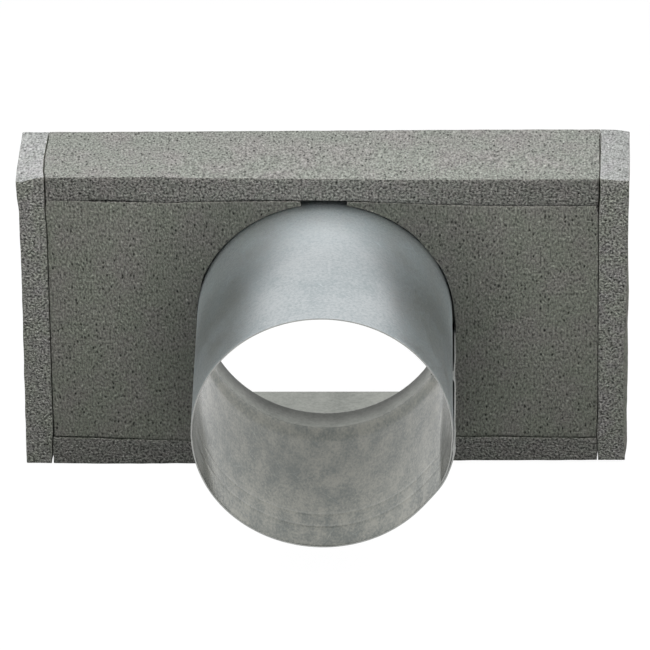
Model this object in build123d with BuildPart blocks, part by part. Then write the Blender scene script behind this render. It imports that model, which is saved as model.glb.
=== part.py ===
from build123d import *
import math
import os

# Insulated duct cover with a round spigot. Millimetres, +Z up, the spigot points along -Y.
# The origin is on the spigot's axis, in the plane of the front foam panel's face.

# Folded sheet-metal cover
sheet = 0.6  # galvanised steel sheet, also the spigot's wall
coverWidth = 214.0  # outside the side flanges, at the front plate
plateAbove = 1.25  # from the top of the spigot to the outside of the top flange, at the front plate
plateBelow = 4.25  # from the bottom of the spigot to the outside of the bottom flange
flangeDepth = 28.5  # from the front plate's face to the rear rim
flangeOpen = 2.0  # degrees that each flange stands open towards the rear
foldRadius = 0.6  # inside of the folds round the front plate
tabWidth = 13.0  # corner tabs, turned in from the side flanges
tabSetback = 1.5  # the tabs stop this far short of the rear rim

# Neck drawn out of the front plate, inside the spigot
neckLength = 12.5  # from the front plate's face to the neck's cut edge
neckBend = 1.2  # hollow side of the bend between plate and neck
neckPlay = 0.1  # between the neck and the spigot's inner lap layer

# Spigot, rolled from one sheet with a lap seam
spigotRadius = 49.5  # outside
spigotReach = 92.0  # in front of the foam
lapEdge = -8.0  # degrees, the outer layer's cut edge, right of the axis
lapStart = 1.0  # degrees, where the sheet starts to step in under the outer layer
lapTuck = -7.0  # degrees, where it is fully under
lapEnd = -22.0  # degrees, the inner layer's cut edge

# Closed-cell foam panels, all cut from one sheet
foam = 10.5  # thickness
panelSeam = 0.7  # open joint round the front panel
stripSeam = 0.4  # open joint at the strips' ends
spigotClearance = 0.9  # between the spigot and the edge of its hole in the foam

# Worked out from the sizes above
spread = math.tan(math.radians(flangeOpen))
depth = foam + flangeDepth
slant = foam / math.cos(math.radians(flangeOpen))  # the foam's thickness, measured across the object
coverHeight = plateAbove + 2 * spigotRadius + plateBelow
middle = (plateAbove - plateBelow) / 2  # the middle of the cover, below the spigot's axis
plateFace = Plane.back.offset(foam)
lapInside = spigotRadius - 2 * sheet
neckOutside = lapInside - neckPlay
neckInside = neckOutside - sheet


def halfWidth(y):
    """Half the width over the side flanges at a distance y behind the foam face."""
    return coverWidth / 2 + (y - foam) * spread


def halfHeight(y):
    """Half the height over the top and bottom flanges at a distance y behind the foam face."""
    return coverHeight / 2 + (y - foam) * spread


def onCircle(radius, angle):
    """Point of a circle round the spigot's axis, in the plane across it."""
    return (radius * math.cos(math.radians(angle)), radius * math.sin(math.radians(angle)))


def stepIn(radius):
    """The step under the lap: one sheet inwards, leaving and meeting both circles smoothly."""
    start = onCircle(radius - sheet, lapTuck)
    end = onCircle(radius, lapStart)
    leave = onCircle(1, lapTuck + 90)
    arrive = onCircle(1, lapStart + 90)
    return Spline(start, end, tangents=(leave, arrive))


def coverBlock(inset, reach, fold):
    """Solid block with the cover's outline, inset at its front and all round, folded edges in front."""
    with BuildPart() as block:
        with BuildSketch(plateFace.offset(inset)):
            width = 2 * (halfWidth(foam + inset) - inset)
            height = 2 * (halfHeight(foam + inset) - inset)
            with Locations((0, middle)):
                Rectangle(width, height)
        extrude(amount=reach - inset, taper=-flangeOpen)
        fillet(block.faces().sort_by(Axis.Y)[0].edges(), radius=fold)
    return block.part


tabEnd = flangeDepth - tabSetback
outside = coverBlock(0, flangeDepth, foldRadius + sheet)
inside = coverBlock(sheet, flangeDepth, foldRadius)
tabBlock = coverBlock(sheet, tabEnd, foldRadius)

# Corner tabs lie on the inside of the top and bottom flanges, one sheet thick
with BuildPart() as tabs:
    add(tabBlock)
    with BuildSketch(plateFace):
        with Locations((0, middle)):
            Rectangle(2 * coverWidth, coverHeight - 4 * sheet)
    extrude(amount=tabEnd, taper=-flangeOpen, mode=Mode.SUBTRACT)
    with BuildSketch(plateFace):
        with Locations((0, middle)):
            Rectangle(coverWidth - 2 * tabWidth, coverHeight)
    extrude(amount=tabEnd, mode=Mode.SUBTRACT)

# Cover: front plate and four flanges folded from one sheet, with a drawn neck
with BuildPart() as shell:
    add(outside)
    add(inside, mode=Mode.SUBTRACT)
    add(tabs.part)
    with BuildSketch(plateFace):
        Circle(neckOutside + neckBend)
    extrude(amount=sheet, mode=Mode.SUBTRACT)
    with BuildSketch(Plane.XY):
        with BuildLine():
            bendStart = foam - neckBend
            neckEnd = foam - neckLength
            holeEdge = neckOutside + neckBend
            RadiusArc((neckOutside, bendStart), (holeEdge, foam), neckBend)
            Line((holeEdge, foam), (holeEdge, foam + sheet))
            RadiusArc((holeEdge, foam + sheet), (neckInside, bendStart), -(neckBend + sheet))
            Line((neckInside, bendStart), (neckInside, neckEnd))
            Line((neckInside, neckEnd), (neckOutside, neckEnd))
            Line((neckOutside, neckEnd), (neckOutside, bendStart))
        make_face()
    revolve(axis=Axis.Y)

# Spigot: the rolled sheet's section carried along the axis. The lap is welded into one thickness.
spigotEnd = foam - neckBend
with BuildPart() as spigot:
    with BuildSketch(Plane.XZ.offset(-spigotEnd)):
        with BuildLine():
            CenterArc((0, 0), spigotRadius, lapStart, 360 + lapEdge - lapStart)
            Line(onCircle(spigotRadius, lapEdge), onCircle(spigotRadius - sheet, lapEdge))
            CenterArc((0, 0), spigotRadius - sheet, lapEdge, lapTuck - lapEdge)
            stepIn(spigotRadius)
        make_face()
        with BuildLine():
            CenterArc((0, 0), spigotRadius - sheet, lapStart, 360 + lapEnd - lapStart)
            Line(onCircle(spigotRadius - sheet, lapEnd), onCircle(lapInside, lapEnd))
            CenterArc((0, 0), lapInside, lapEnd, lapTuck - lapEnd)
            stepIn(spigotRadius - sheet)
        make_face(mode=Mode.SUBTRACT)
    extrude(amount=spigotEnd + spigotReach)

# Front foam panel: the hole for the spigot breaks through its top edge
with BuildPart() as foamFront:
    with BuildSketch(Plane.back):
        with Locations((0, middle)):
            Rectangle(2 * (halfWidth(0) - panelSeam), 2 * (halfHeight(0) - panelSeam))
        Circle(spigotRadius + spigotClearance, mode=Mode.SUBTRACT)
    extrude(amount=foam)

# Top strip: lies on the top flange, between the side panels
rise = depth * spread
with BuildPart() as foamTop:
    with BuildSketch(Plane.YZ):
        under = middle + halfHeight(0)
        over = under + slant
        Polygon((0, under), (depth, under + rise), (depth, over + rise), (0, over), align=None)
    extrude(amount=coverWidth, both=True)
    with BuildSketch(Plane.XY):
        front = halfWidth(0) - stripSeam
        rear = front + rise
        Polygon((-front, 0), (front, 0), (rear, depth), (-rear, depth), align=None)
    extrude(amount=coverHeight, mode=Mode.INTERSECT)

# Right panel: lies on the right flange and closes the ends of the strips and of the front panel
with BuildPart() as foamRight:
    with BuildSketch(Plane.XY.offset(middle)):
        inner = halfWidth(0)
        outer = inner + slant
        Polygon((inner, 0), (outer, 0), (outer + rise, depth), (inner + rise, depth), align=None)
    extrude(amount=coverHeight, both=True)
    with BuildSketch(Plane.YZ):
        top = middle + halfHeight(0) + slant
        bottom = middle - halfHeight(0) - slant
        Polygon((0, bottom), (depth, bottom - rise), (depth, top + rise), (0, top), align=None)
    extrude(amount=coverWidth, mode=Mode.INTERSECT)

# The bottom strip and the left panel are cut alike
foamBottom = mirror(foamTop.part, about=Plane.XY.offset(middle))
foamLeft = mirror(foamRight.part, about=Plane.YZ)

os.makedirs("parts", exist_ok=True)
pieces = {
    "shell": shell.part,
    "spigot": spigot.part,
    "foam_front": foamFront.part,
    "foam_top": foamTop.part,
    "foam_bottom": foamBottom,
    "foam_left": foamLeft,
    "foam_right": foamRight.part,
}
for name, piece in pieces.items():
    piece.label = name
    export_step(piece, f"parts/{name}.step")
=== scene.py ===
import math

import bpy
import numpy as np
from mathutils import Matrix, Vector


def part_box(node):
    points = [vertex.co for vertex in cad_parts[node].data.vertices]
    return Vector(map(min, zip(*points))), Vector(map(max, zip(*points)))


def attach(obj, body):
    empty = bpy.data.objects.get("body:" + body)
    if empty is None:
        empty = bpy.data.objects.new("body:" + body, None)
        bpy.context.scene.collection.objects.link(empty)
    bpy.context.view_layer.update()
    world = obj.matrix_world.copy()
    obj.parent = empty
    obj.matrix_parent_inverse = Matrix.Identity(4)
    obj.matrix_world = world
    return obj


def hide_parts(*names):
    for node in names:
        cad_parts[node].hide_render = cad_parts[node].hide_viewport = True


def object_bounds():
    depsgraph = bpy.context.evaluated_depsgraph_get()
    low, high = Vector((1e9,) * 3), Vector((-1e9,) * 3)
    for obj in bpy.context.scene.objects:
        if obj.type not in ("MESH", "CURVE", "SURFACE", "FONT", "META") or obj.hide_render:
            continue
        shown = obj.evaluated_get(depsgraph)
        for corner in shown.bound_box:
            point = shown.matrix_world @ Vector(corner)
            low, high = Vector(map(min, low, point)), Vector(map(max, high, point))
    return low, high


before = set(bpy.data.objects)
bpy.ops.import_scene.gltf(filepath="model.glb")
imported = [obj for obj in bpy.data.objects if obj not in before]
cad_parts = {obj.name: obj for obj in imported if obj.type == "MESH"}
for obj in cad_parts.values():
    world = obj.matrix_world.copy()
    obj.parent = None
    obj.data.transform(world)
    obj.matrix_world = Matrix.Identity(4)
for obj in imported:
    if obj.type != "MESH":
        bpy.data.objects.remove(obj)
cadLow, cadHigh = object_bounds()
scene = bpy.context.scene
mm = 0.001  # Blender works in metres, the sizes in this file are millimetres
print("frame loaded, size in mm:", [round(n / mm, 1) for n in cadHigh - cadLow])


# What every piece is made with


# Corners of a CAD node's box, in millimetres
def boxOf(node):
    low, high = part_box(node)
    return np.array(low) / mm, np.array(high) / mm


# Eases from 0 at low to 1 at high, flat at both ends
def ease(value, low, high):
    t = np.clip((value - low) / (high - low), 0, 1)
    return t * t * (3 - 2 * t)


# A line cut by hand: its height at each place, easing from one (place, height) mark to the next
def handLine(along, marks):
    places, heights = np.array(marks, float).T
    k = np.clip(np.searchsorted(places, along) - 1, 0, len(places) - 2)
    return heights[k] + (heights[k + 1] - heights[k]) * ease(along, places[k], places[k + 1])


# Soft unevenness from -1 to 1: the mean of sine waves, each with its own random direction and
# phase, and its own length, between the shortest and the longest share of the one asked for
def uneven(points, waveLength, seed, waves=7, shortest=0.6, longest=1.5):
    chance = np.random.default_rng(seed)
    total = np.zeros(points.shape[:-1])
    for _ in range(waves):
        direction = chance.normal(size=3)
        direction /= np.linalg.norm(direction)
        turns = points @ direction / (waveLength * chance.uniform(shortest, longest))
        total += np.sin(2 * math.pi * (turns + chance.uniform()))
    return total / waves


# Places from 0 to 1 along a side of a block: even steps, and at both ends a line where the
# rounded edge begins and one part of the way round it
def divide(length, step, edge):
    partWay = edge * 0.35
    inner = np.linspace(edge, length - edge, max(2, round(length / step)))
    return np.concatenate([[0, partWay], inner, [length - partWay, length]]) / length


# Rounds the edges of a block of this size: the part of a point that lies beyond the inner box is
# set to the radius
def roundEdges(u, v, w, size, radius):
    half = np.array(size) / 2
    point = (np.stack([u, v, w], -1) - 0.5) * size
    core = np.clip(point, radius - half, half - radius)
    beyond = point - core
    beyond *= radius / np.linalg.norm(beyond, axis=-1, keepdims=True)
    return ((core + beyond) / size + 0.5).T


sharpAngle = 50  # degrees: faces that meet at more than this are shaded apart


# The closed skin of a block. Its points have places u, v and w from 0 to 1, each of its six sides
# is a grid of them, and neighbouring sides share the points of their common edge. shape(u, v, w)
# turns places into x, y and z. sides names the material of the sides across u, across v and
# across w, in pairs (low end, high end).
def buildBlock(name, places, shape, materials, sides):
    counts = tuple(len(p) for p in places)
    quads, paint = [], []
    used = sorted({look for pair in sides for look in pair})
    for axis in range(3):
        a, b = (axis + 1) % 3, (axis + 2) % 3
        for end in range(2):
            cell = [None] * 3
            cell[a], cell[b] = np.meshgrid(
                np.arange(counts[a]), np.arange(counts[b]), indexing="ij"
            )
            cell[axis] = np.full_like(cell[a], end * (counts[axis] - 1))
            n = np.ravel_multi_index(cell, counts)
            corners = [n[:-1, :-1], n[1:, :-1], n[1:, 1:], n[:-1, 1:]]
            quads.append(np.stack(corners if end else corners[::-1], -1).reshape(-1, 4))
            paint.append(np.full(len(quads[-1]), used.index(sides[axis][end])))
    kept, quads = np.unique(np.concatenate(quads), return_inverse=True)
    quads = quads.reshape(-1, 4)
    i, j, k = np.unravel_index(kept, counts)
    points = np.stack(shape(places[0][i], places[1][j], places[2][k]), -1)
    a, b, c, d = (points[quads[:, n]] for n in range(4))
    if np.sum(a * (np.cross(b - a, c - a) + np.cross(c - a, d - a))) < 0:
        quads = quads[:, ::-1]  # the shape turned the block inside out
    mesh = bpy.data.meshes.new(name)
    mesh.from_pydata((points * mm).tolist(), [], quads.tolist())
    for look in used:
        mesh.materials.append(materials[look])
    mesh.polygons.foreach_set("material_index", np.concatenate(paint))
    mesh.shade_smooth()
    mesh.set_sharp_from_angle(angle=math.radians(sharpAngle))
    piece = bpy.data.objects.new(name, mesh)
    scene.collection.objects.link(piece)
    print(f"{name}: {len(quads)} faces")
    return piece


# Says what a finished piece is: it rides on the one body and replaces its CAD node
def place(piece, node):
    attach(piece, "root")
    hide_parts(node)


# Materials


# sRGB hex to the linear colour that the shaders take, by the standard's own curve
def colour(hexCode):
    parts = [int(hexCode[n : n + 2], 16) / 255 for n in (1, 3, 5)]
    return [p / 12.92 if p <= 0.04045 else ((p + 0.055) / 1.055) ** 2.4 for p in parts] + [1.0]


# Adds a node: settings are its own properties, inputs are values or the outputs of other nodes
def add(tree, kind, inputs, **settings):
    node = tree.nodes.new(kind)
    for name, value in settings.items():
        setattr(node, name, value)
    for name, value in inputs.items():
        if isinstance(value, bpy.types.NodeSocket):
            tree.links.new(value, node.inputs[name])
        else:
            node.inputs[name].default_value = value
    return node


# A new material with its surface shader, and the object's coordinates in metres
def newMaterial(name, shader):
    material = bpy.data.materials.new(name)
    material.use_nodes = True
    tree = material.node_tree
    tree.nodes.clear()
    coordinates = add(tree, "ShaderNodeTexCoord", {}).outputs["Object"]
    surface = add(tree, "ShaderNodeBsdfPrincipled", shader)
    add(tree, "ShaderNodeOutputMaterial", {"Surface": surface.outputs[0]})
    return material, tree, coordinates, surface


# A value that passes smoothly from one tone to another between two places in mm
def between(tree, where, places, tones):
    return add(
        tree,
        "ShaderNodeMapRange",
        {
            "Value": where,
            "From Min": places[0] * mm,
            "From Max": places[1] * mm,
            "To Min": tones[0],
            "To Max": tones[1],
        },
        interpolation_type="SMOOTHSTEP",
    ).outputs[0]


# A colour times such a value: darker or lighter at one place than at the other
def toned(tree, base, where, places, tones):
    tone = between(tree, where, places, tones)
    return add(
        tree, "ShaderNodeVectorMath", {0: base, "Scale": tone}, operation="SCALE"
    ).outputs[0]


# Distance from the spigot's axis
def fromAxis(tree, coordinates):
    flat = add(
        tree, "ShaderNodeVectorMath", {0: coordinates, 1: (1, 0, 1)}, operation="MULTIPLY"
    ).outputs[0]
    return add(tree, "ShaderNodeVectorMath", {0: flat}, operation="LENGTH").outputs["Value"]


# Cross-linked polyethylene foam sheet, dark grey with greenish and warmer patches. Its skin was
# embossed when the sheet was made: the eye sees an even surface with small dark pits, drawn out
# along the sheet, and pale specks. A knife opens the foam's cells, which shows as a crisp speckle
# of dark hollows and light cell walls. The sawn ends' cells show less, and the ends are painted
# paler: painted light, as where the top light falls straight on open cells.
foamShared = {
    "roughness": 0.88,
    "ior": 1.5,
    "specular": 0.3,
    "grainNoise": (0.3, 0.7),  # the noise's values where the grain is darkest and lightest
    "spotChance": (0.2, 0.8),  # a spot's own random number: unseen at the first, full at the last
    "patchNoise": (0.38, 0.68),  # the noise's values where a patch is all green and all mauve
}
foamSkinLook = {
    "name": "foamSkinEmbossed",
    "green": "#7f8177",
    "mauve": "#82807a",
    "patch": 14.0,  # mm
    "stretch": 0.62,  # the pattern's scale along y and z against the one along x
    "grain": 0.75,  # mm
    "grainTone": (0.38, 1.62),  # the darkest and lightest grain, times the base colour
    "spots": [  # spacing in mm, the share of it where a spot fades out, and how dark or light it is
        (1.5, 0.12, 0.35, 0.12),
        (1.9, 0.08, 0.28, 1.75),
    ],
    "depth": 0.25,  # mm
}
foamFrontSkinLook = {
    **foamSkinLook,
    "name": "foamSkinFront",
    "holeShadeReach": (50.0, 90.0),  # mm from the axis: painted shade round the spigot, darker than beyond
    "holeShadeTone": (0.64, 1.06),
}
# painted light: a copy of the skin, a touch paler and bluer, for the top that the light falls on
foamLitTopSkinLook = {
    **foamSkinLook,
    "name": "foamSkinTop",
    "green": "#81837d",
    "mauve": "#84827f",
}
foamCutLook = {
    "name": "foamKnifeCut",
    "green": "#7f7f79",
    "mauve": "#83807c",
    "patch": 8.0,
    "stretch": 1.0,
    "grain": 0.9,
    "grainTone": (0.0, 2.05),
    "spots": [(1.7, 0.12, 0.38, 0.25), (1.8, 0.1, 0.32, 1.9)],
    "depth": 0.3,
}
foamSawnLook = {
    **foamCutLook,
    "name": "foamSawnFront",
    "green": "#93948b",
    "mauve": "#969390",
}
# painted light: the side panels' ends, with finer cells and paler than the cut fronts
foamLitEndLook = {
    "name": "foamSawnEnd",
    "green": "#979896",
    "mauve": "#9a9999",
    "patch": 8.0,
    "stretch": 0.7,
    "grain": 0.8,
    "grainTone": (0.46, 1.54),
    "spots": [(2.0, 0.12, 0.36, 0.35), (2.2, 0.1, 0.34, 1.4)],
    "depth": 0.15,
}
foamLitDullEndLook = {
    **foamLitEndLook,
    "name": "foamSawnEndDull",
    "green": "#8f908e",
    "mauve": "#919090",
}


def foamSurface(look):
    shared = foamShared
    material, tree, coordinates, surface = newMaterial(
        look["name"],
        {
            "Roughness": shared["roughness"],
            "IOR": shared["ior"],
            "Specular IOR Level": shared["specular"],
        },
    )
    stretch = (1, look["stretch"], look["stretch"])
    drawn = add(tree, "ShaderNodeMapping", {"Vector": coordinates, "Scale": stretch}).outputs[0]
    grain = add(
        tree,
        "ShaderNodeTexNoise",
        {"Vector": drawn, "Scale": 1 / (look["grain"] * mm), "Detail": 2.0, "Roughness": 0.6},
    ).outputs["Fac"]
    shade = add(
        tree,
        "ShaderNodeMapRange",
        {
            "Value": grain,
            "From Min": shared["grainNoise"][0],
            "From Max": shared["grainNoise"][1],
            "To Min": look["grainTone"][0],
            "To Max": look["grainTone"][1],
        },
    ).outputs[0]
    for spacing, near, far, tone in look["spots"]:
        cells = add(
            tree, "ShaderNodeTexVoronoi", {"Vector": drawn, "Scale": 1 / (spacing * mm)}
        ).outputs
        chance = add(tree, "ShaderNodeSeparateXYZ", {0: cells["Color"]}).outputs[0]
        strength = add(
            tree,
            "ShaderNodeMapRange",
            {
                "Value": chance,
                "From Min": shared["spotChance"][0],
                "From Max": shared["spotChance"][1],
                "To Min": 1.0,
                "To Max": tone,
            },
        ).outputs[0]
        spot = add(
            tree,
            "ShaderNodeMapRange",
            {
                "Value": cells["Distance"],
                "From Min": near,
                "From Max": far,
                "To Min": strength,
                "To Max": 1.0,
            },
        ).outputs[0]
        shade = add(tree, "ShaderNodeMath", {0: shade, 1: spot}, operation="MULTIPLY").outputs[0]
    patches = add(
        tree,
        "ShaderNodeTexNoise",
        {"Vector": coordinates, "Scale": 1 / (look["patch"] * mm), "Detail": 1.0},
    ).outputs["Fac"]
    warmth = add(
        tree,
        "ShaderNodeMapRange",
        {
            "Value": patches,
            "From Min": shared["patchNoise"][0],
            "From Max": shared["patchNoise"][1],
        },
    ).outputs[0]
    base = add(
        tree,
        "ShaderNodeMix",
        {0: warmth, 6: colour(look["green"]), 7: colour(look["mauve"])},
        data_type="RGBA",
    ).outputs[2]
    base = add(
        tree, "ShaderNodeVectorMath", {0: base, "Scale": shade}, operation="SCALE"
    ).outputs[0]
    # painted shade on the skin round the spigot's hole
    if "holeShadeTone" in look:
        away = fromAxis(tree, coordinates)
        base = toned(tree, base, away, look["holeShadeReach"], look["holeShadeTone"])
    tree.links.new(base, surface.inputs["Base Color"])
    relief = add(
        tree, "ShaderNodeBump", {"Height": shade, "Distance": look["depth"] * mm}
    ).outputs[0]
    tree.links.new(relief, surface.inputs["Normal"])
    return material


# Hot-dip galvanised sheet steel: zinc with a thin dull film. The eye sees soft clouds, a fine
# mottle of duller spots, a few hairline scratches, and highlights that spread wider where the
# film is thicker. The finishes share their nodes.
zincShared = {
    "spread": 0.22,  # at contrast 1: how far off its middle the noise is all clean or all dull
    "scratchSpacing": 16.0,  # mm
    "scratchWidth": 0.018,  # share of the spacing
    "scratchNoise": (0.58, 0.62),  # a scratch shows only where the clouds' noise is above these
}
zincOutsideLook = {
    "name": "galvanisedSatinOutside",  # smooth and blue-grey
    "clean": "#c4c9cb",
    "dull": "#a5aeb1",
    "stretch": 1.0,  # the pattern's scale along y against the other ways
    "cloud": 20.0,  # mm
    "mottle": 1.1,  # mm
    "fine": 1.5,  # weight of the mottle against the clouds
    "contrast": 0.9,
    "roughness": 0.36,
    "wander": 0.12,  # how much the roughness changes from the clean to the dull places
    "depth": 0.012,  # mm
    "scratch": 1.35,  # a scratch's tone
    "foamReach": (-4.0, -48.0),  # mm along the axis: rougher beside the foam than ahead, and lighter by painted light
    "foamLightTone": (1.5, 1.0),
    "foamRoughness": 0.1,
    "contactReach": (-0.5, -6.0),  # and a line of painted shade beside the foam
    "contactShadeTone": (0.72, 1.0),
}
zincInsideLook = {
    "name": "galvanisedPatinaInside",  # weathered: dull, greenish grey, blotched, darker below
    "clean": "#8e8e87",
    "dull": "#6f7370",
    "stretch": 0.45,  # the blotches run along the axis
    "cloud": 7.0,
    "mottle": 0.85,
    "fine": 1.05,
    "contrast": 1.1,
    "roughness": 0.19,
    "wander": 0.1,
    "depth": 0.03,
    "scratch": 1.3,
    "lowLineWidth": (4.0, 34.0),  # mm aside from the lowest line: where the darker middle fades out
    "lowLineTone": (0.88, 1.0),
    "mouthReach": (-20.0, -92.0),  # and painted shade near the cover, painted light near the mouth
    "mouthLightAndShade": (0.87, 1.15),
}
zincCoverLook = {
    "name": "galvanisedDullSheet",  # the folded cover: even, dull and pale, with painted shade at its neck
    "clean": "#a6a8a2",
    "dull": "#8f928d",
    "stretch": 1.0,
    "cloud": 14.0,
    "mottle": 1.5,
    "fine": 0.9,
    "contrast": 0.8,
    "roughness": 0.46,
    "wander": 0.12,
    "depth": 0.02,
    "scratch": 1.2,
    "neckRadius": (49.6, 51.5),  # mm from the axis, from the neck to the plate
    "neckDepth": (-2.0, 9.0),  # mm along the axis, from the neck's cut edge to its bend
    "neckShadeTone": (0.78, 0.32),
}
cutEdgeLook = {
    "name": "shearedSteelEdge",  # bare metal, rough from the shears
    "clean": "#b6b7b4",
    "dull": "#a3a4a2",
    "stretch": 1.0,
    "cloud": 6.0,
    "mottle": 1.0,
    "fine": 0.9,
    "contrast": 0.8,
    "roughness": 0.75,
    "wander": 0.1,
    "depth": 0.02,
    "scratch": 1.0,
}


def zinc(look):
    shared = zincShared
    material, tree, coordinates, surface = newMaterial(look["name"], {"Metallic": 1.0})
    stretch = (1, look["stretch"], 1)
    drawn = add(tree, "ShaderNodeMapping", {"Vector": coordinates, "Scale": stretch}).outputs[0]
    clouds = add(
        tree,
        "ShaderNodeTexNoise",
        {"Vector": drawn, "Scale": 1 / (look["cloud"] * mm), "Detail": 4.0, "Roughness": 0.6},
    ).outputs["Fac"]
    mottle = add(
        tree,
        "ShaderNodeTexNoise",
        {"Vector": drawn, "Scale": 1 / (look["mottle"] * mm), "Detail": 3.0, "Roughness": 0.7},
    ).outputs["Fac"]
    both = add(
        tree, "ShaderNodeMath", {0: mottle, 1: look["fine"], 2: clouds}, operation="MULTIPLY_ADD"
    ).outputs[0]
    middle, half = (1 + look["fine"]) / 2, shared["spread"] / look["contrast"]
    dulled = add(
        tree,
        "ShaderNodeMapRange",
        {"Value": both, "From Min": middle - half, "From Max": middle + half},
    ).outputs[0]
    base = add(
        tree,
        "ShaderNodeMix",
        {0: dulled, 6: colour(look["clean"]), 7: colour(look["dull"])},
        data_type="RGBA",
    ).outputs[2]
    lines = add(
        tree,
        "ShaderNodeTexVoronoi",
        {"Vector": coordinates, "Scale": 1 / (shared["scratchSpacing"] * mm)},
        feature="DISTANCE_TO_EDGE",
    ).outputs["Distance"]
    few = add(
        tree,
        "ShaderNodeMapRange",
        {
            "Value": clouds,
            "From Min": shared["scratchNoise"][0],
            "From Max": shared["scratchNoise"][1],
            "To Min": 1.0,
            "To Max": look["scratch"],
        },
    ).outputs[0]
    scratches = add(
        tree,
        "ShaderNodeMapRange",
        {
            "Value": lines,
            "From Min": 0.0,
            "From Max": shared["scratchWidth"],
            "To Min": few,
            "To Max": 1.0,
        },
    ).outputs[0]
    base = add(
        tree, "ShaderNodeVectorMath", {0: base, "Scale": scratches}, operation="SCALE"
    ).outputs[0]
    across, along, _ = add(tree, "ShaderNodeSeparateXYZ", {0: coordinates}).outputs
    if "lowLineTone" in look:
        aside = add(tree, "ShaderNodeMath", {0: across}, operation="ABSOLUTE").outputs[0]
        base = toned(tree, base, aside, look["lowLineWidth"], look["lowLineTone"])
    if "mouthLightAndShade" in look:
        # painted shade deep in the tube and painted light towards the mouth
        base = toned(tree, base, along, look["mouthReach"], look["mouthLightAndShade"])
    # painted shade on the cover's neck, deepest towards its bend
    if "neckShadeTone" in look:
        paintedNeckShade = between(tree, along, look["neckDepth"], look["neckShadeTone"])
        away = fromAxis(tree, coordinates)
        base = toned(tree, base, away, look["neckRadius"], (paintedNeckShade, 1.0))
    rough = add(
        tree,
        "ShaderNodeMapRange",
        {
            "Value": dulled,
            "To Min": look["roughness"] - look["wander"] / 2,
            "To Max": look["roughness"] + look["wander"] / 2,
        },
    ).outputs[0]
    if "foamLightTone" in look:
        # painted light: the tube is lighter beside the foam
        base = toned(tree, base, along, look["foamReach"], look["foamLightTone"])
        # painted shade: a dark line where the tube meets the foam
        base = toned(tree, base, along, look["contactReach"], look["contactShadeTone"])
        more = between(tree, along, look["foamReach"], (look["foamRoughness"], 0.0))
        rough = add(tree, "ShaderNodeMath", {0: rough, 1: more}, operation="ADD").outputs[0]
    tree.links.new(base, surface.inputs["Base Color"])
    tree.links.new(rough, surface.inputs["Roughness"])
    relief = add(
        tree, "ShaderNodeBump", {"Height": both, "Distance": look["depth"] * mm}
    ).outputs[0]
    tree.links.new(relief, surface.inputs["Normal"])
    return material


foamMaterials = {
    "skin": foamSurface(foamSkinLook),
    "frontSkin": foamSurface(foamFrontSkinLook),
    "topSkin": foamSurface(foamLitTopSkinLook),
    "cut": foamSurface(foamCutLook),
    "sawn": foamSurface(foamSawnLook),
    "end": foamSurface(foamLitEndLook),
    "dullEnd": foamSurface(foamLitDullEndLook),
}
spigotMaterials = {
    "outside": zinc(zincOutsideLook),
    "inside": zinc(zincInsideLook),
    "edge": zinc(cutEdgeLook),
}
coverMaterial = zinc(zincCoverLook)
print("materials made")


# Spigot: one sheet rolled round the axis, its right-hand edges lapped and spot-welded. The
# sheet's two ends stay straighter than the rest, so the lap bulges and the outer layer's edge
# stands off, held in by one weld. Angles are in degrees from the right, upwards. Pairs are a
# place along the axis and a height in mm.

spigotSizes = {
    "sheet": 0.6,
    "lapEdge": -8.0,  # the outer layer's cut edge
    "stepStart": 1.0,  # where the sheet begins to step in under the outer layer
    "stepEnd": -7.0,
    "lapEnd": -25.0,  # the inner layer's cut edge
    "liftReach": 14.0,  # the part of the outer layer that springs away
    "edgeLift": [  # and how far its edge stands off
        (-92, 0.7),
        (-87, 0.65),
        (-75, 1.3),
        (-62, 1.5),
        (-42, 1.65),
        (-31, 1.4),
        (-17, 1.75),
        (9, 1.75),
    ],
    "leastGap": 0.02,  # between the layers
    "gapFilled": [  # how far it reaches back in, at the spot weld and where the mouth was pressed
        (-92, 0.7),
        (-86, 0.2),
        (-80, 0.0),
        (-38, 0.0),
        (-35, 1.1),
        (-33, 1.1),
        (-30, 0.0),
        (9, 0.0),
    ],
    "bulges": [  # middle, reach, and how far the sheet stands out
        (-24.0, 9.0, [(-92, 1.0), (-14, 1.0), (-3, 0.0)]),
        (-12.0, 10.0, [(-92, 0.9), (-68, 0.05), (-3, 0.0)]),
    ],
    "outOfRound": 0.12,
    "outOfRoundLength": 70.0,
    "roundAtLap": (-5.0, 20.0),  # it stays round at the lap, up to the second angle
    "roundAtFoam": (3.0, 14.0),  # and at the foam, up to this far in front of it
    "neckEdge": -2.0,  # the cover's neck begins here, and the wall closes in on it from the ramp on
    "neckRamp": -11.0,
    "neckInside": 47.6,
    "neckOutside": 48.3,
    "singleReach": 6.0,  # but not at the lap, beside which it grows over this many degrees
    "rimThin": 0.15,  # share of the sheet that the mouth's rim loses at its rounded edges
    "rimLength": 0.6,
    "rollLines": (-77.0, -68.0),  # faint lines of the roller, 15 and 24 mm from the mouth
    "rollDepth": 0.1,
    "rollWidth": 0.9,
}
spigotGrid = {
    "columns": 383,
    "rows": 43,
    "lineRows": (-1.6, -0.8, -0.4, 0, 0.4, 0.8, 1.6),  # mm from each of the roller's lines
    "neckRows": 9,
    "neckStep": 0.05,  # mm from the neck's edge to the rows at both sides of it
    "rimRows": (0.15, 0.3, 0.6),  # mm from the mouth
}


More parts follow.
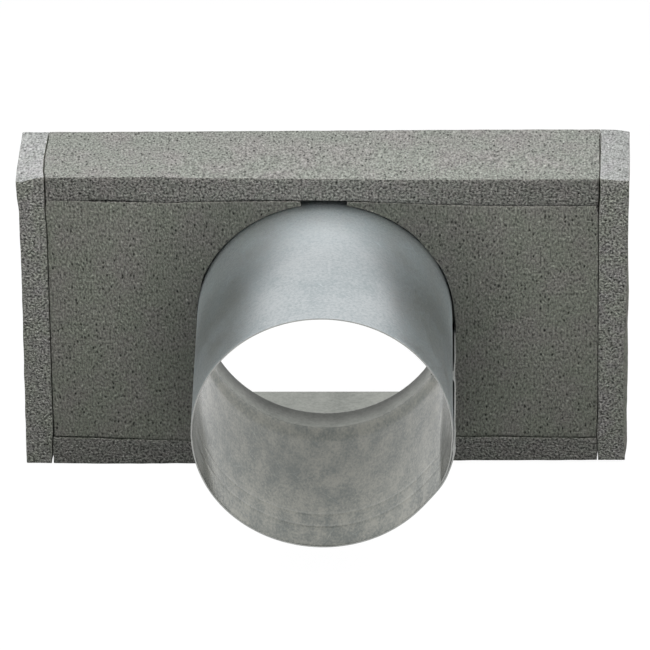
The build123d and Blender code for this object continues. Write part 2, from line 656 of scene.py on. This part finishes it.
# u runs along the sheet from its inner cut edge round to its outer one, v from the cover to the
# mouth, w from the inside to the outside. The radius is the middle of the sheet plus the share w
# of its thickness. The middle eases in under the lap, lifts with the square of the way along the
# free part, and swells by a bell curve at each bulge. The inside stands in towards the axis by a
# narrow bell curve at each of the roller's lines.
def spigotShape(u, v, w):
    size = spigotSizes
    low, high = boxOf("spigot")
    radius = (high[2] - low[2]) / 2 - size["sheet"] / 2
    outerEdge = 360 + size["lapEdge"]
    angle = size["lapEnd"] + (outerEdge - size["lapEnd"]) * u
    y = high[1] + (low[1] - high[1]) * v
    middle = radius - size["sheet"] * (1 - ease(angle, size["stepEnd"], size["stepStart"]))
    free = np.clip((angle - outerEdge + size["liftReach"]) / size["liftReach"], 0, 1)
    middle += (handLine(y, size["edgeLift"]) + size["leastGap"]) * free**2
    for at, reach, heights in size["bulges"]:
        away = (angle - at + 180) % 360 - 180
        middle += handLine(y, heights) * np.exp(-((away / reach) ** 2))
    a = np.radians(angle)
    ring = np.stack([np.cos(a) * radius, y, np.sin(a) * radius], -1)
    loose = (1 - free) * ease(angle, *size["roundAtLap"]) * ease(-y, *size["roundAtFoam"])
    middle += size["outOfRound"] * uneven(ring, size["outOfRoundLength"], seed=3) * loose
    rim = ease(low[1] + size["rimLength"] - y, 0, size["rimLength"])
    r = middle + (w - 0.5) * size["sheet"] * (1 - size["rimThin"] * rim)
    r -= (1 - w) * handLine(y, size["gapFilled"]) * free**4
    single = ease(360 + size["lapEnd"] - angle, 0, size["singleReach"])
    before = (size["neckInside"] - r) * ease(y, size["neckRamp"], size["neckEdge"])
    r += (1 - w) * single * np.where(y < size["neckEdge"], before, size["neckOutside"] - r)
    for line in size["rollLines"]:
        r -= (1 - w) * size["rollDepth"] * np.exp(-(((y - line) / size["rollWidth"]) ** 2))
    return r * np.cos(a), y, r * np.sin(a)


# Rows of the grid along the axis: even ones, and closer ones at the roller's lines, the neck and
# the mouth's rim
def spigotRows():
    grid = spigotGrid
    low, high = (corner[1] for corner in boxOf("spigot"))
    lines = [line + aside for line in spigotSizes["rollLines"] for aside in grid["lineRows"]]
    before, behind = (spigotSizes["neckEdge"] + side * grid["neckStep"] for side in (-1, 1))
    neck = np.linspace(spigotSizes["neckRamp"], before, grid["neckRows"])
    rim = [low + aside for aside in grid["rimRows"]]
    even = np.linspace(high, low, grid["rows"])
    every = np.unique(np.concatenate([even, lines, neck, [behind], rim]))[::-1]
    return (every - high) / (low - high)


spigot = buildBlock(
    "rolledSpigot",
    (np.linspace(0, 1, spigotGrid["columns"]), spigotRows(), np.linspace(0, 1, 2)),
    spigotShape,
    spigotMaterials,
    (("edge", "edge"), ("edge", "edge"), ("inside", "outside")),
)
place(spigot, "spigot")


# Foam panels, cut by hand from one sheet, with marks that follow the real one's uneven cuts. The
# flanges stand open, so the panels spread to the rear.

foamSizes = {
    "thickness": 10.5,
    "flangeOpen": 2.0,  # degrees
    "edge": 0.3,  # radius of the cut edges
    "step": 1.6,  # grid spacing
    "ripple": 0.16,  # small wander of every cut, its length, and how many waves it is made of
    "rippleLength": 9.0,
    "rippleWaves": 12,
    "jointDepth": 1.2,  # an open joint closes over this depth below the faces
    "jointLeast": 0.06,
    "jointEnd": (33.0, 38.0),  # and between these distances behind the front face
    "overTop": (51.0, 55.0),  # heights between which a side joint takes its line on the top face
    "outerSpread": 0.6,  # share of the flanges' spread that the outer side faces follow
}
# Marks of a side panel: (z, x) in the front face for its joint and its outer side, (y, x) for its
# joint on the top face, and (z, mm) for how wide the joint stands open
leftCuts = {
    "joint": [
        (-64, -107.3),
        (-56, -107.2),
        (-50, -106.6),
        (-35, -106.8),
        (38, -106.95),
        (46, -107.5),
        (62, -107.3),
    ],
    "jointTop": [
        (0, -107.3),
        (6.5, -107.95),
        (16, -108.1),
        (25.5, -107.85),
        (32, -107.5),
        (39, -107.3),
    ],
    "gap": [(-64, 0.6), (-48, 0.6), (-40, 0.42), (50, 0.4), (56, 0.8), (62, 0.8)],
    "side": [(-64, -117.6), (-24, -117.5), (16, -117.3), (46, -117.6), (54, -118.2), (60, -118.5)],
    "bulge": [(-64, 0.0), (40, 0.0), (61, -1.7)],  # how far the side comes out behind the front
    "bulgeReach": 45.0,  # and over which depth
    "end": "end",
    "seed": 11,
}
rightCuts = {
    "joint": [
        (-64, 106.4),
        (-50, 106.0),
        (-42, 106.3),
        (-15, 106.1),
        (20, 105.9),
        (48, 105.65),
        (54, 106.1),
        (62, 105.9),
    ],
    "jointTop": [(0, 105.9), (10.5, 106.35), (26.5, 106.7), (39, 107.1)],
    "gap": [(-64, 0.35), (-42, 0.4), (-36, 0.25), (43, 0.3), (49, 0.95), (62, 1.0)],
    "side": [
        (-64, 117.1),
        (-50, 116.5),
        (-36, 116.3),
        (-14, 116.3),
        (2, 116.9),
        (28, 117.1),
        (61, 117.35),
    ],
    "bulge": [(-64, 1.0), (-30, 1.7), (0, 1.1), (20, 0.3), (62, 0.3)],
    "bulgeReach": 16.0,
    "end": "dullEnd",
    "seed": 21,
}
# Marks of a strip: (x, z) in the front face for its joint and its outer edge, (x, z) at the rear
# for the outer edge there, and (x, mm) for how wide the joint stands open
topCuts = {
    "joint": [
        (-107, 51.4),
        (-92, 51.3),
        (-84, 51.1),
        (-60, 50.5),
        (-41, 51.0),
        (-23, 51.1),
        (14, 50.7),
        (32, 50.1),
        (44, 49.5),
        (66, 49.0),
        (107, 48.9),
    ],
    "gap": [
        (-107, 0.05),
        (-90.5, 0.05),
        (-89, 1.3),
        (-81, 1.0),
        (-76, 0.6),
        (-58, 0.35),
        (-38, 0.45),
        (-22, 0.8),
        (14, 0.8),
        (24, 0.4),
        (107, 0.3),
    ],
    "front": [
        (-118, 60.0),
        (-115, 59.4),
        (-112, 60.7),
        (-108, 61.5),
        (-65, 61.7),
        (-48, 61.2),
        (0, 60.8),
        (30, 60.4),
        (106, 60.5),
        (117, 59.8),
    ],
    "rear": [(-118, 61.4), (-95, 61.5), (80, 62.25), (107, 62.25), (112, 62.1), (118, 61.3)],
    "skin": "topSkin",
    "seed": 31,
}
bottomCuts = {
    "joint": [
        (-107, -52.75),
        (-92, -53.1),
        (-79, -53.75),
        (-60, -54.3),
        (-50, -54.7),
        (50, -52.85),
        (66, -52.75),
        (90, -53.2),
        (107, -53.4),
    ],
    "gap": [
        (-107, 1.0),
        (-80, 0.85),
        (-70, 0.4),
        (-52, 0.2),
        (52, 0.5),
        (68, 0.8),
        (80, 0.5),
        (107, 0.5),
    ],
    "front": [(-118, -64.6), (-81, -65.0), (-51, -64.8), (50, -63.6), (118, -63.45)],
    "skin": "skin",
    "seed": 41,
}
spread = math.tan(math.radians(foamSizes["flangeOpen"]))
foamDepth = boxOf("foam_top")[1][1]
lowest = boxOf("foam_bottom")[0][2]
highest = boxOf("foam_top")[1][2]
sideFlange = boxOf("foam_right")[0][0]  # the flanges' places, carried forward to the front face
topFlange = boxOf("foam_top")[0][2]
bottomFlange = boxOf("foam_bottom")[1][2]


# The small wander of a cut surface
def ripple(x, y, z, seed):
    points = np.stack([x, y, z], -1)
    waves = uneven(points, foamSizes["rippleLength"], seed, foamSizes["rippleWaves"])
    return foamSizes["ripple"] * waves


# Keeps every panel inside the CAD model's box
def insideBox(x, y, z):
    low, high = np.array(cadLow) / mm, np.array(cadHigh) / mm
    return tuple(np.clip(value, low[n], high[n]) for n, value in enumerate((x, y, z)))


# Half of a side joint's width: it stands open at the faces, closes inside by the exponential of
# the depth, and eases shut towards the rear edge
def halfOpen(side, y, z):
    gap = handLine(z, (leftCuts if side < 0 else rightCuts)["gap"])
    inside = np.clip(np.minimum(y, highest - np.abs(z)), 0, None)
    width = gap * (1 - ease(y, *foamSizes["jointEnd"]))
    return width / 2 * np.exp(-inside / foamSizes["jointDepth"]) + foamSizes["jointLeast"] / 2


# How far a joint has come from its hand-cut line at the front to the flange that the panel is
# glued to
def settled(y):
    return ease(y, 0, foamSizes["thickness"])


# Distance from the middle to the joint along a side panel. Above the cover it follows its own
# line on the top face.
def sideJoint(side, y, z):
    cuts = leftCuts if side < 0 else rightCuts
    front = side * handLine(z, cuts["joint"])
    low = front + (sideFlange - front) * settled(y) + y * spread
    return low + (side * handLine(y, cuts["jointTop"]) - low) * ease(z, *foamSizes["overTop"])


# Height of the joint under the top strip, and of the one over the bottom strip
def stripJoint(side, x, y):
    cuts, flange = (topCuts, topFlange) if side > 0 else (bottomCuts, bottomFlange)
    front = handLine(x, cuts["joint"])
    return front + (flange - front) * settled(y) + side * y * spread


# Height of the top and bottom faces
def faceHeight(side, x, y):
    front = handLine(x, (topCuts if side > 0 else bottomCuts)["front"])
    rear = handLine(x, topCuts["rear"]) if side > 0 else lowest
    return front + (rear - front) * y / foamDepth


# A foam block of this size, its cut sides named in the order of buildBlock
def foamBlock(name, node, size, shape, sides):
    places = [divide(length, foamSizes["step"], foamSizes["edge"]) for length in size]
    place(buildBlock(name, places, shape, foamMaterials, sides), node)


# A side panel: u runs up, v to the rear, w outwards. Each point is a share of the way from the
# bottom face to the top one, and from the joint to the outer face, plus the ripple.
def sidePanel(name, node, side, cuts):
    low, high = boxOf(node)
    size = (high[2] - low[2], foamDepth, foamSizes["thickness"])
    outward = spread * foamSizes["outerSpread"]
    seed = cuts["seed"]

    def shape(u, v, w):
        u, v, w = roundEdges(u, v, w, size, foamSizes["edge"])
        y = v * foamDepth
        across = side * (sideFlange + size[2] * w)
        bottom, top = faceHeight(-1, across, y), faceHeight(1, across, y)
        z = bottom + (top - bottom) * u
        inner = sideJoint(side, y, z) + halfOpen(side, y, z)
        bulge = handLine(z, cuts["bulge"]) * ease(y, 0, cuts["bulgeReach"])
        outer = side * handLine(z, cuts["side"]) + bulge + y * outward
        x = side * (inner + (outer - inner) * w)
        x = x + ripple(x, y, z, seed) * w
        y = y + ripple(x, y, z, seed + 1) * (1 - v)
        return insideBox(x, y, z + ripple(x, y, z, seed + 2))

    end = cuts["end"]
    foamBlock(name, node, size, shape, ((end, end), ("sawn", "sawn"), ("skin", "skin")))


sidePanel("leftPanel", "foam_left", -1, leftCuts)
sidePanel("rightPanel", "foam_right", 1, rightCuts)


# A strip above or below: u runs across, v to the rear, w outwards. Each point is a share of the
# way from the joint to the outer face, and from one side panel to the other, plus the ripple.
def strip(name, node, side, cuts):
    low, high = boxOf(node)
    size = (high[0] - low[0], foamDepth, foamSizes["thickness"])
    least, depth = foamSizes["jointLeast"], foamSizes["jointDepth"]
    seed = cuts["seed"]

    def shape(u, v, w):
        u, v, w = roundEdges(u, v, w, size, foamSizes["edge"])
        y = v * foamDepth
        x = (u - 0.5) * size[0]
        half = handLine(x, cuts["gap"]) / 2 * np.exp(-y / depth) + least / 2
        inner = stripJoint(side, x, y) + side * half
        z = inner + (faceHeight(side, x, y) - inner) * w
        start = halfOpen(-1, y, z) - sideJoint(-1, y, z)
        end = sideJoint(1, y, z) - halfOpen(1, y, z)
        x = start + (end - start) * u
        y = y + ripple(x, y, z, seed + 1) * (1 - v)
        return insideBox(x, y, z + ripple(x, y, z, seed + 2) * w)

    skin = cuts["skin"]
    foamBlock(name, node, size, shape, (("cut", "cut"), ("cut", "cut"), (skin, skin)))


strip("topStrip", "foam_top", 1, topCuts)
strip("bottomStrip", "foam_bottom", -1, bottomCuts)


# Front panel: the sheet runs round the spigot like a letter C, open where its hole breaks through
# the top edge. Angles are in degrees from straight up, clockwise.

frontSizes = {
    "spigotRadius": 49.5,
    "holeGap": [  # angle, and how far the knife kept off the spigot there
        (0, 0.3),
        (30, 0.4),
        (46, 0.5),
        (50, 0.15),
        (60, 0.15),
        (64, 0.65),
        (90, 0.8),
        (180, 0.4),
        (265, 0.25),
        (284, 0.2),
        (290, 0.75),
        (303, 0.6),
        (318, 0.35),
        (345, 0.25),
        (360, 0.3),
    ],
    "tipAngle": 10.2,  # from straight up to each tip of the C
    "tipThickness": 0.25,
    "lapRoom": (99.0, 7.0, 1.0),  # the hole gives way to the lap: where, over what angle, how far
    "uneven": 0.2,  # waves of the face, and the small bumps on them, each with its length
    "unevenLength": 60.0,
    "bumps": 0.06,
    "bumpsLength": 8.0,
    "reach": 50.0,  # nominal distance from the hole to the panel's edge, for the grid
    "step": 2.0,  # grid spacing outwards, and round the hole
    "angleStep": 1.5,
    "tipStep": 0.15,  # from each tip to the next grid line
    "corners": [(106, 49.4), (106.1, -53.1), (-106.6, -52.6), (-107.4, 51.7)],  # (x, z)
}


# u runs clockwise round the hole, v from the hole out to the panel's edge along the same ray, w
# from front to back. Each point is the share v of the way from the hole to where its ray meets
# the nearest of the four edges.
def frontShape(u, v, w):
    size = frontSizes
    thickness, tip = foamSizes["thickness"], size["tipAngle"]
    u, v, w = roundEdges(u, v, w, (360, size["reach"], thickness), foamSizes["edge"])
    turn = tip + (360 - 2 * tip) * u
    angle = np.radians(turn)
    tiny = 1e-6  # stands in for 0 where a ray runs straight across or straight up
    goX, goZ = np.sin(angle), np.cos(angle)
    goX, goZ = (np.where(np.abs(go) < tiny, tiny, go) for go in (goX, goZ))
    y = thickness * w
    at, over, far = size["lapRoom"]
    hole = size["spigotRadius"] + handLine(turn, size["holeGap"])
    hole = hole + far * np.exp(-(((turn - at) / over) ** 2))
    closing = np.exp(-y / foamSizes["jointDepth"]) / 2
    reach = np.full_like(angle, sideFlange)
    for _ in range(4):  # the edges aren't straight, so each round finds the place on them better
        x, z = reach * goX, reach * goZ
        right = sideJoint(1, y, z) - halfOpen(1, y, z)
        left = sideJoint(-1, y, z) - halfOpen(-1, y, z)
        top = stripJoint(1, x, y) - handLine(x, topCuts["gap"]) * closing
        bottom = -stripJoint(-1, x, y) - handLine(x, bottomCuts["gap"]) * closing
        sideways = np.where(goX > 0, right, left) / np.abs(goX)
        upright = np.where(goZ > 0, top, bottom) / np.abs(goZ)
        reach = np.minimum(sideways, upright)
    hole = np.minimum(hole, reach - size["tipThickness"])
    r = hole + (reach - hole) * v
    x, z = r * goX, r * goZ
    face = np.stack([x, y, z], -1)
    waves = size["uneven"] * uneven(face, size["unevenLength"], seed=5)
    waves = waves + size["bumps"] * uneven(face, size["bumpsLength"], seed=6)
    return insideBox(x, np.maximum(y + waves * (1 - w), 0), z)


# Grid lines round the hole go through the panel's four corners
def frontAngles():
    size = frontSizes
    first, last = size["tipAngle"], 360 - size["tipAngle"]
    corners = [math.degrees(math.atan2(x, z)) % 360 for x, z in size["corners"]]
    stops = [first, *corners, last]
    lines = [
        np.linspace(a, b, max(2, round((b - a) / size["angleStep"]) + 1))
        for a, b in zip(stops, stops[1:])
    ]
    tips = [first + size["tipStep"], last - size["tipStep"]]
    decimals = 6  # rounded to these, a stop that two lists share is found only once
    every = np.unique(np.round(np.concatenate([*lines, tips]), decimals))
    return (every - first) / (last - first)


front = buildBlock(
    "frontPanel",
    (
        frontAngles(),
        divide(frontSizes["reach"], frontSizes["step"], foamSizes["edge"]),
        divide(foamSizes["thickness"], foamSizes["step"], foamSizes["edge"]),
    ),
    frontShape,
    foamMaterials,
    (("cut", "cut"), ("cut", "cut"), ("frontSkin", "skin")),
)
place(front, "foam_front")


# The folded cover keeps its CAD shape and gets its zinc

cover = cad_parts["shell"]
cover.data.materials.clear()
cover.data.materials.append(coverMaterial)
print("pieces made")


# Floor, light and camera

studio = {
    "floorDrop": 0.05,  # mm below the lowest foam edge
    "floorReach": 6000.0,  # mm to each side
    "floorColour": "#747472",
    "floorShadow": 0.07,  # how much of the floor's brightness seen by the camera is the lamps'
    "floorGlow": 0.975,
    "surround": "#929e9d",
    "surroundLevel": 0.35,
}
lamps = {  # place, size and aim in mm, power in watts, and whether bright metal mirrors it
    "overheadLamp": ((0, -100, 300), (1100, 560), (0, -60, 0), 1.25, True),
    "overheadFill": ((0, -100, 330), (700, 300), (0, -60, 0), 1.75, False),
    "leftLamp": ((-560, 60, 160), (400, 400), (0, 0, 0), 0.4, True),
    "rightLamp": ((560, 60, 160), (400, 400), (0, 0, 0), 0.36, True),
}


# 1 for the camera and for what shines or shows through, which see white, and 0 for light that
# only falls on things, which sees a plainer tone
def seenDirectly(tree):
    path = add(tree, "ShaderNodeLightPath", {}).outputs
    seen = path["Is Camera Ray"]
    for ray in ("Is Glossy Ray", "Is Transmission Ray"):
        seen = add(tree, "ShaderNodeMath", {0: seen, 1: path[ray]}, operation="MAXIMUM").outputs[0]
    return seen


def studioFloor():
    reach = studio["floorReach"] * mm
    z = cadLow.z - studio["floorDrop"] * mm
    corners = [(-reach, -reach, z), (reach, -reach, z), (reach, reach, z), (-reach, reach, z)]
    mesh = bpy.data.meshes.new("studioFloor")
    mesh.from_pydata(corners, [], [(0, 1, 2, 3)])
    floor = bpy.data.objects.new("studioFloor", mesh)
    scene.collection.objects.link(floor)
    material = bpy.data.materials.new("paleFloor")
    material.use_nodes = True
    tree = material.node_tree
    tree.nodes.clear()
    tone = colour(studio["floorColour"])
    plain = add(tree, "ShaderNodeBsdfDiffuse", {"Color": tone}).outputs[0]
    shadow = studio["floorShadow"]
    faint = add(tree, "ShaderNodeBsdfDiffuse", {"Color": (shadow, shadow, shadow, 1)}).outputs[0]
    glow = add(tree, "ShaderNodeEmission", {"Strength": studio["floorGlow"]}).outputs[0]
    seen = add(tree, "ShaderNodeAddShader", {0: faint, 1: glow}).outputs[0]
    mixed = add(
        tree, "ShaderNodeMixShader", {0: seenDirectly(tree), 1: plain, 2: seen}
    ).outputs[0]
    add(tree, "ShaderNodeOutputMaterial", {"Surface": mixed})
    mesh.materials.append(material)


def studioSurround():
    world = bpy.data.worlds.new("studioSurround")
    scene.world = world
    world.use_nodes = True
    tree = world.node_tree
    tree.nodes.clear()
    soft = add(
        tree,
        "ShaderNodeBackground",
        {"Color": colour(studio["surround"]), "Strength": studio["surroundLevel"]},
    ).outputs[0]
    white = add(
        tree, "ShaderNodeBackground", {"Color": (1, 1, 1, 1), "Strength": 1.0}
    ).outputs[0]
    mixed = add(
        tree, "ShaderNodeMixShader", {0: seenDirectly(tree), 1: soft, 2: white}
    ).outputs[0]
    add(tree, "ShaderNodeOutputWorld", {"Surface": mixed})


# A soft lamp, a rectangle that faces its aim
def softLamp(name, at, size, aim, power, mirrored):
    lamp = bpy.data.lights.new(name, "AREA")
    lamp.shape = "RECTANGLE"
    lamp.size, lamp.size_y = size[0] * mm, size[1] * mm
    lamp.energy = power
    holder = bpy.data.objects.new(name, lamp)
    holder.location = Vector(at) * mm
    holder.rotation_mode = "QUATERNION"
    holder.rotation_quaternion = (Vector(aim) * mm - holder.location).to_track_quat("-Z", "Y")
    holder.visible_glossy = mirrored
    scene.collection.objects.link(holder)


# The camera stands on a sphere round its aim: back is the direction from the aim to the camera
cameraPlace = {
    "focus": 7216.8,  # pixels of an image 650 wide
    "imageWidth": 650,
    "sensor": 36.0,  # mm
    "distance": 2802.9,  # mm
    "elevation": 28.39,  # degrees
    "turn": 0.96,
    "roll": -0.51,
    "aim": (0.03, 0.0, -3.05),
}


def studioCamera():
    view = cameraPlace
    up, turn, roll = (math.radians(view[key]) for key in ("elevation", "turn", "roll"))
    back = Vector((math.sin(turn) * math.cos(up), -math.cos(turn) * math.cos(up), math.sin(up)))
    level = Vector((math.cos(turn), math.sin(turn), 0))
    over = back.cross(level)
    right = level * math.cos(roll) + over * math.sin(roll)
    above = over * math.cos(roll) - level * math.sin(roll)
    lens = bpy.data.cameras.new("studioCamera")
    lens.sensor_width = view["sensor"]
    lens.lens = view["focus"] / view["imageWidth"] * view["sensor"]
    holder = bpy.data.objects.new("studioCamera", lens)
    turned = Matrix((right, above, back)).transposed().to_4x4()
    at = (Vector(view["aim"]) + back * view["distance"]) * mm
    holder.matrix_world = Matrix.Translation(at) @ turned
    scene.collection.objects.link(holder)
    scene.camera = holder


studioFloor()
studioSurround()
for name, settings in lamps.items():
    softLamp(name, *settings)
studioCamera()
scene.view_settings.view_transform = "Standard"
print("studio made")
